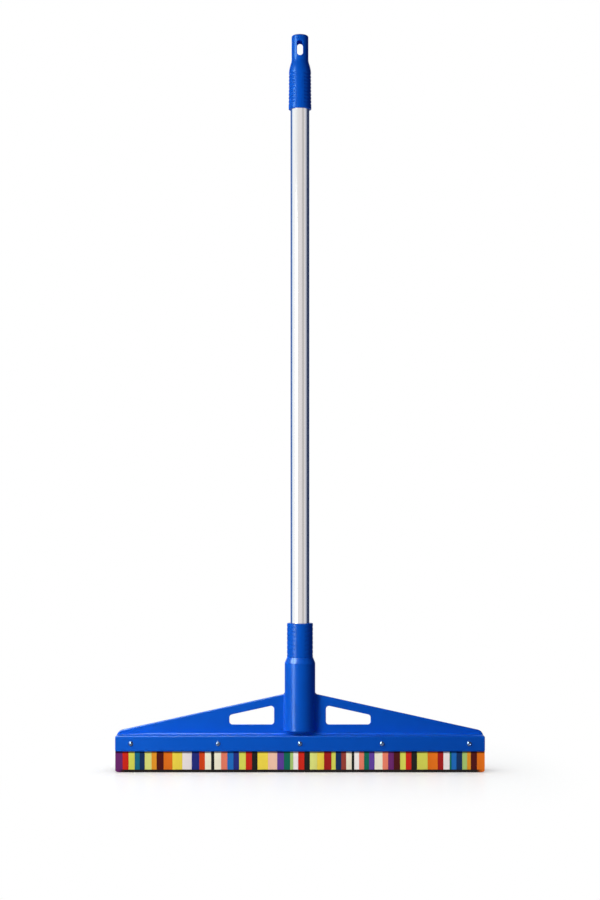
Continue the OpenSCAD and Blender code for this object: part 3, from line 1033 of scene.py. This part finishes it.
def outside_slot(n, place):
    """1 outside the hang slot and 0 on the faces inside it."""
    parts = n.add("ShaderNodeSeparateXYZ", Vector=place)
    across = n.math("DIVIDE", n.math("ABSOLUTE", parts.outputs["X"]), SLOT_R * MM)
    aside = n.ramp(n.math("MULTIPLY", across, 0.5), [(0.51, grey(0.0)), (0.56, grey(1.0))])
    mid_z = (SLOT_FOOT_Z + SLOT_TOP_Z) / 2
    off = n.math("ABSOLUTE", n.math("SUBTRACT", parts.outputs["Z"], mid_z * MM))
    share = n.math("DIVIDE", off, (SLOT_TOP_Z - SLOT_FOOT_Z) * MM)
    beyond = n.ramp(share, [(0.50, grey(0.0)), (0.53, grey(1.0))])
    return n.math("MAXIMUM", aside, beyond)


def blue_plastic():
    """Moulded plastic with a faint cloud, fine grain and flow marks, dull inside the slot."""
    mat, n, bsdf = new_material("blue_plastic")
    place = n.place()
    cloud = n.noise(place, scale=22.0, detail=3.0)
    grain = n.noise(place, scale=1500.0, detail=2.0, roughness=0.6)
    flow = n.noise(place, scale=160.0, detail=4.0, roughness=0.55)
    n.set(bsdf, "Base Color", n.mix(cloud, linear_rgb(BLUE_DEEP), linear_rgb(BLUE)))
    rough = n.ramp(cloud, [(0.3, grey(0.28)), (0.7, grey(0.31))])
    n.set(bsdf, "Roughness", n.mix(outside_slot(n, place), grey(0.95), rough))
    bsdf.inputs["Specular IOR Level"].default_value = 0.08
    bsdf.inputs["Specular Tint"].default_value = (0.55, 0.78, 1.0, 1.0)
    relief = n.math("ADD", n.math("MULTIPLY", grain, 0.6), n.math("MULTIPLY", flow, 0.3))
    n.bump(bsdf, relief, strength=0.06, distance=0.0002)
    return mat


def aluminium():
    """Bare metal with fine drawing lines along the tube."""
    mat, n, bsdf = new_material("bare_aluminium")
    place = n.place()
    lines = n.noise(n.stretch(place, 0.006), scale=2600.0, detail=3.0, roughness=0.6)
    cloud = n.noise(place, scale=14.0, detail=3.0)
    dull, bright = linear_rgb((0.955, 0.957, 0.96)), linear_rgb((0.985, 0.985, 0.985))
    n.set(bsdf, "Base Color", n.mix(cloud, dull, bright))
    bsdf.inputs["Metallic"].default_value = 1.0
    n.set(bsdf, "Roughness", n.ramp(lines, [(0.3, grey(0.15)), (0.7, grey(0.21))]))
    n.bump(bsdf, lines, strength=0.04, distance=0.0001)
    return mat


def steel():
    """Screw steel with small spots; its dark bluish colour is a painted reflection of the blue flange."""
    mat, n, bsdf = new_material("screw_steel")
    spots = n.noise(n.place(), scale=1800.0, detail=4.0, roughness=0.6)
    # Dark bluish colours: a painted reflection of the blue flange round the screws.
    dull, bright = linear_rgb((0.33, 0.41, 0.54)), linear_rgb((0.45, 0.53, 0.66))
    n.set(bsdf, "Base Color", n.mix(spots, dull, bright))
    bsdf.inputs["Metallic"].default_value = 1.0
    n.set(bsdf, "Roughness", n.ramp(spots, [(0.3, grey(0.14)), (0.7, grey(0.24))]))
    n.bump(bsdf, spots, strength=0.08, distance=0.0001)
    return mat


FOAM_RGB = {
    "plum": (106, 35, 104), "violet": (93, 61, 151), "indigo": (29, 40, 122), "navy": (4, 44, 90),
    "teal": (8, 102, 130), "blue": (25, 106, 186), "green": (4, 108, 84), "leaf": (172, 206, 116),
    "pistachio": (224, 228, 124), "lime": (218, 220, 86), "yellow": (239, 214, 70), "amber": (236, 154, 36),
    "orange": (233, 116, 18), "vermilion": (210, 64, 10), "red": (208, 34, 14), "crimson": (160, 18, 18),
    "maroon": (74, 7, 6), "brick": (150, 60, 48), "charcoal": (17, 20, 18), "grey": (242, 235, 228),
    "cream": (245, 239, 210), "peach": (243, 197, 168), "salmon": (236, 128, 100),
}
# Near black of the painted contact shade along the lips' foot.
FOAM_FOOT_SHADE = (0.012, 0.009, 0.008, 1.0)


def painted_foot_shade(n, place, cloud):
    """1 along the foot of the lips, with an uneven upper edge, and 0 above it and at the ends: where it is
    1, a painted contact shade darkens the foam.
    """
    parts = n.add("ShaderNodeSeparateXYZ", Vector=place)
    edge = n.math("ADD", parts.outputs["Z"], n.math("MULTIPLY", cloud, 0.0006))
    foot_shade = n.ramp(n.math("DIVIDE", edge, 0.01), [(0.45, grey(1.0)), (0.52, grey(0.0))], True)
    aside = n.math("ABSOLUTE", parts.outputs["X"])
    inner = n.ramp(aside, [(0.287, grey(1.0)), (0.297, grey(0.0))], True)
    return n.math("MULTIPLY", foot_shade, inner)


def foam(colour):
    """Foam with small pores, streaks from the cut, a tone for each slab and a painted contact shade along
    its foot.
    """
    mat, n, bsdf = new_material("foam_" + colour)
    place = n.place()
    cells = n.add("ShaderNodeTexVoronoi", {"feature": "SMOOTH_F1"}, Vector=place, Scale=1700.0)
    pore = cells.outputs["Distance"]
    cloud = n.noise(place, scale=120.0, detail=4.0, roughness=0.6)
    streak = n.noise(n.stretch(place, 0.08), scale=900.0, detail=2.0)
    tone = n.add("ShaderNodeAttribute", {"attribute_name": "tone"}).outputs["Fac"]
    base = linear_rgb([c / 255 for c in FOAM_RGB[colour]])
    dark = (0.86 * base[0], 0.80 * base[1], 0.82 * base[2], 1.0)
    light = tuple(min(0.96, 1.08 * c + 0.003) for c in base[:3]) + (1.0,)
    mixed = n.math("ADD", n.math("MULTIPLY", cloud, 0.4), n.math("MULTIPLY", tone, 0.6))
    pores = n.ramp(pore, [(0.0, grey(0.80)), (0.35, grey(1.0))])
    unshaded = n.mix(0.35, n.mix(mixed, dark, light), pores, "MULTIPLY")
    # A painted contact shade turns the foam near black along its foot.
    n.set(bsdf, "Base Color", n.mix(painted_foot_shade(n, place, cloud), unshaded, FOAM_FOOT_SHADE))
    bsdf.inputs["Roughness"].default_value = 0.82
    bsdf.inputs["Specular IOR Level"].default_value = 0.2
    relief = n.math("ADD", pore, n.math("MULTIPLY", streak, 0.5))
    n.bump(bsdf, relief, strength=0.25, distance=0.0003)
    return mat


def dress(obj, mat, slot, body, *replaced):
    """Gives a piece its material, hides the nodes it replaces and puts it on its body; the slot is not
    used.
    """
    obj.data.materials.clear()
    obj.data.materials.append(mat)
    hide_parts(*replaced)
    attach(obj, body)


# Stage

FLOOR_R = 1.6
FLOOR_GLOW = 0.195
FLOOR_SHEEN = 0.11
FLOOR_BOUNCE = 0.20


def floor_material():
    """White floor that keeps the shadows near the object and fades to white away from it."""
    mat, n, bsdf = new_material("floor")
    tree = n.tree
    tree.nodes.remove(bsdf)
    diffuse = n.add("ShaderNodeBsdfDiffuse", Color=(0.826, 0.820, 0.790, 1.0))
    glow = n.add("ShaderNodeEmission", Color=(1.0, 0.97, 0.94, 1.0), Strength=FLOOR_GLOW)
    lit = n.add("ShaderNodeAddShader", i0=diffuse.outputs[0], i1=glow.outputs[0])
    sheen = n.add("ShaderNodeBsdfGlossy", Color=grey(FLOOR_SHEEN), Roughness=0.26)
    lit = n.add("ShaderNodeAddShader", i0=lit.outputs[0], i1=sheen.outputs[0])
    white = n.add("ShaderNodeEmission", Color=grey(1.0), Strength=1.0)
    parts = n.add("ShaderNodeSeparateXYZ", Vector=n.place())
    along = n.math("SUBTRACT", n.math("ABSOLUTE", parts.outputs["X"]), HALF_L * MM)
    along = n.math("MULTIPLY", n.math("MAXIMUM", along, 0.0), 2.5)
    squares = n.math("ADD", n.math("POWER", along, 2.0), n.math("POWER", parts.outputs["Y"], 2.0))
    far = n.math("SQRT", squares)
    fade = n.ramp(far, [(0.10, grey(0.0)), (0.42, grey(1.0))], True)
    faded = n.add("ShaderNodeMixShader", i0=fade, i1=lit.outputs[0], i2=white.outputs[0])
    camera = n.add("ShaderNodeLightPath").outputs["Is Camera Ray"]
    bounce = n.add("ShaderNodeBsdfDiffuse", Color=grey(FLOOR_BOUNCE))
    both = n.add("ShaderNodeMixShader", i0=camera, i1=bounce.outputs[0], i2=faded.outputs[0])
    tree.links.new(both.outputs[0], tree.nodes["Material Output"].inputs["Surface"])
    return mat


def build_floor():
    ring = circle(FLOOR_R / MM, 96)
    floor = add_mesh("floor", [(x, y, 0.0) for x, y in ring], [tuple(range(len(ring)))])
    floor.location.z = -0.0002
    floor.data.materials.append(floor_material())
    floor.visible_glossy = False
    return floor


def stop(azimuth, value):
    """A ramp's stop at an azimuth from -180 to 180, with the front at 0."""
    return (0.5 + azimuth / 360.0, value if isinstance(value, tuple) else grey(value))


def mirror_cards(n, share, height):
    """What reflections show: pale cards in front, blue ones on the left, dark ones on the right."""
    side_blue = linear_rgb((58 / 255, 92 / 255, 160 / 255))
    edge_blue = linear_rgb((76 / 255, 118 / 255, 196 / 255))
    navy = (0.018, 0.030, 0.085, 1.0)
    behind = (0.60, 0.70, 0.78, 1.0)
    cards = n.ramp(share, [
        stop(-180, behind), stop(-173, behind), stop(-168, edge_blue), stop(-156, edge_blue),
        stop(-148, side_blue), stop(-119, side_blue),
        stop(-109, (0.48, 0.65, 0.90)), stop(-99, (0.92, 0.96, 1.0)),
        stop(-70, 0.96), stop(-45, 0.88), stop(-30, 0.80), stop(-16, (0.79, 0.76, 0.75)),
        stop(22, (0.77, 0.73, 0.74)), stop(30, (0.49, 0.48, 0.47)), stop(46, (0.50, 0.48, 0.47)),
        stop(54, (0.76, 0.71, 0.70)), stop(64, (0.74, 0.72, 0.74)), stop(78, (0.47, 0.51, 0.60)),
        stop(89, (0.24, 0.27, 0.36)), stop(98, navy), stop(148, navy), stop(160, behind), stop(180, behind),
    ])
    tilt = n.math("ADD", n.math("MULTIPLY", height, 0.5), 0.5)
    above = n.ramp(tilt, [
        (0.20, grey(0.95)), (0.44, grey(1.0)), (0.74, grey(1.0)), (0.84, grey(0.35)),
    ], True)
    return n.mix(1.0, cards, above, "MULTIPLY")


def soft_fill(n, share):
    """Soft light from the left, and little from the right."""
    return n.ramp(share, [
        stop(-180, 0.13), stop(-110, 0.28), stop(-50, 0.34), stop(0, (0.17, 0.20, 0.28, 1.0)),
        stop(60, (0.06, 0.08, 0.14, 1.0)), stop(120, (0.03, 0.04, 0.08, 1.0)), stop(180, 0.13),
    ], True)


def build_world():
    """White to the camera, cards in reflections, and a soft fill for the rest."""
    world = bpy.data.worlds.new("studio")
    world.use_nodes = True
    scene.world = world
    n = Nodes(world.node_tree)
    way = n.add("ShaderNodeTexCoord").outputs["Generated"]
    parts = n.add("ShaderNodeSeparateXYZ", Vector=way)
    turn = n.math("ARCTAN2", parts.outputs["X"], n.math("MULTIPLY", parts.outputs["Y"], -1.0))
    share = n.math("ADD", n.math("DIVIDE", turn, 2 * math.pi), 0.5)
    path = n.add("ShaderNodeLightPath")
    shiny = n.math("MAXIMUM", path.outputs["Is Glossy Ray"], path.outputs["Is Transmission Ray"])
    lit = n.mix(shiny, soft_fill(n, share), mirror_cards(n, share, parts.outputs["Z"]))
    back = world.node_tree.nodes["Background"]
    n.set(back, "Color", n.mix(path.outputs["Is Camera Ray"], lit, grey(1.0)))
    back.inputs["Strength"].default_value = 1.0


def only_for(light, receivers, blockers=None):
    """Limits a light to some objects, and its shadows to those of some objects."""
    group = bpy.data.collections.new(light.name + "_on")
    for obj in receivers:
        group.objects.link(obj)
    light.light_linking.receiver_collection = group
    if blockers is not None:
        group = bpy.data.collections.new(light.name + "_by")
        for obj in blockers:
            group.objects.link(obj)
        light.light_linking.blocker_collection = group


def area_light(name, place, target, size, power, colour=(1.0, 1.0, 1.0)):
    """A lamp of a width and a height that points at a target."""
    data = bpy.data.lights.new(name, "AREA")
    data.color = colour
    data.shape = "RECTANGLE"
    data.size, data.size_y = size
    data.energy = power
    obj = bpy.data.objects.new(name, data)
    obj.location = place
    obj.rotation_euler = (Vector(target) - Vector(place)).to_track_quat("-Z", "Y").to_euler()
    obj.visible_camera = False
    scene.collection.objects.link(obj)
    return obj


def soft_light(receivers, *lamp):
    only_for(area_light(*lamp), receivers)


def fill_light(receivers, *lamp):
    """A lamp that no reflection shows."""
    light = area_light(*lamp)
    light.visible_glossy = False
    only_for(light, receivers)


def glint_light(receivers, blockers, *lamp):
    """A lamp that only reflections show."""
    light = area_light(*lamp)
    light.visible_diffuse = False
    only_for(light, receivers, blockers)


def build_lights(floor, pieces):
    """Lamps by name, place, target, size, power and colour, each for some of the pieces."""
    head, grip, ferrule, tube, screws = pieces[:5]
    lips = pieces[5:]
    soft_light(
        [head, grip, ferrule],
        "key", (-0.80, -0.80, 0.66), (0.05, 0.0, 0.45), (0.40, 1.3), 16.0, (1.0, 1.0, 0.80),
    )
    soft_light([tube, screws], "metal_key", (-0.80, -0.80, 0.58), (0.05, 0.0, 0.35), (0.40, 1.0), 2.5)
    soft_light([head], "top", (-0.60, -0.25, 0.85), (-0.20, 0.0, 0.06), (0.50, 0.30), 1.2, (1.0, 1.0, 0.75))
    fill_light(pieces, "rear", (-0.80, 1.60, 1.50), (0.0, 0.0, 0.40), (0.80, 1.2), 32.0)
    soft_light(lips, "lip_key", (-0.05, -0.57, 0.80), (0.0, 0.0, 0.02), (1.4, 0.12), 15.2)
    fill_light([floor], "overhead", (-1.5, -0.1, 1.4), (-1.5, -0.1, 0.0), (6.0, 6.0), 107.0)
    glint_light(
        [head, ferrule], pieces,
        "glint", (-1.0, -0.84, 0.22), (0.0, 0.0, 0.22), (0.36, 1.6), 65.0, (1.0, 0.97, 0.70),
    )
    glint_light(
        [grip], pieces,
        "high_glint", (-0.795, -0.42, 1.41), (0.0, 0.0, 1.17), (0.27, 0.45), 23.0, (0.62, 0.95, 1.0),
    )
    glint_light(
        [head], pieces,
        "strip", (-1.1, -0.40, 1.30), (-1.1, 0.0, 0.06), (2.0, 0.50), 345.0, (1.0, 1.0, 0.70),
    )
    glint_light([head], pieces, "shoulder", (-0.76, -0.71, 0.96), (0.0, 0.0, 0.18), (0.25, 0.25), 45.0)
    glint_light([head], pieces, "back_card", (-0.55, 1.20, 0.30), (-0.55, 0.0, 0.06), (1.3, 0.40), 1.0)
    soft_light([screws], "spark", (-0.75, -0.80, 0.85), (0.0, 0.0, 0.05), (0.30, 0.30), 44.0)
    soft_light([screws], "rear_spark", (0.75, 0.80, 0.85), (0.0, 0.0, 0.05), (0.30, 0.30), 44.0)


def build_camera():
    data = bpy.data.cameras.new("camera")
    data.lens = 68.44
    data.shift_y = 0.0686
    data.sensor_width = 36.0
    data.sensor_fit = "AUTO"
    data.clip_start = 0.05
    data.clip_end = 20.0
    obj = bpy.data.objects.new("camera", data)
    obj.location = (0.0, -2.80, 0.4231)
    obj.rotation_euler = (math.radians(90), 0, 0)
    scene.collection.objects.link(obj)
    scene.camera = obj


def build_pieces():
    """All pieces on their bodies: head, grip, ferrule, tube, screws and then the lips."""
    plastic = blue_plastic()
    head = build_head()
    grip = build_grip()
    ferrule = build_ferrule()
    tube = build_tube()
    screws = build_screws()
    dress(head, plastic, "blue_plastic", "head", "head_moulding")
    dress(grip, plastic, "blue_plastic", "handle_ends", "grip")
    dress(ferrule, plastic, "blue_plastic", "handle_ends", "ferrule")
    dress(tube, aluminium(), "bare_aluminium", "handle", "handle_tube")
    dress(screws, steel(), "screw_steel", "head", "lip_screws")
    pieces = [head, grip, ferrule, tube, screws]
    for entry in frame["record"]["materials"]:
        slot = entry["slot"]
        if slot.startswith("foam_"):
            colour = slot[len("foam_"):]
            lip = build_foam(colour)
            dress(lip, foam(colour), slot, "head", slot)
            pieces.append(lip)
    return pieces


scene.view_settings.view_transform = "Standard"
build_camera()
build_world()
floor = build_floor()
pieces = build_pieces()
build_lights(floor, pieces)
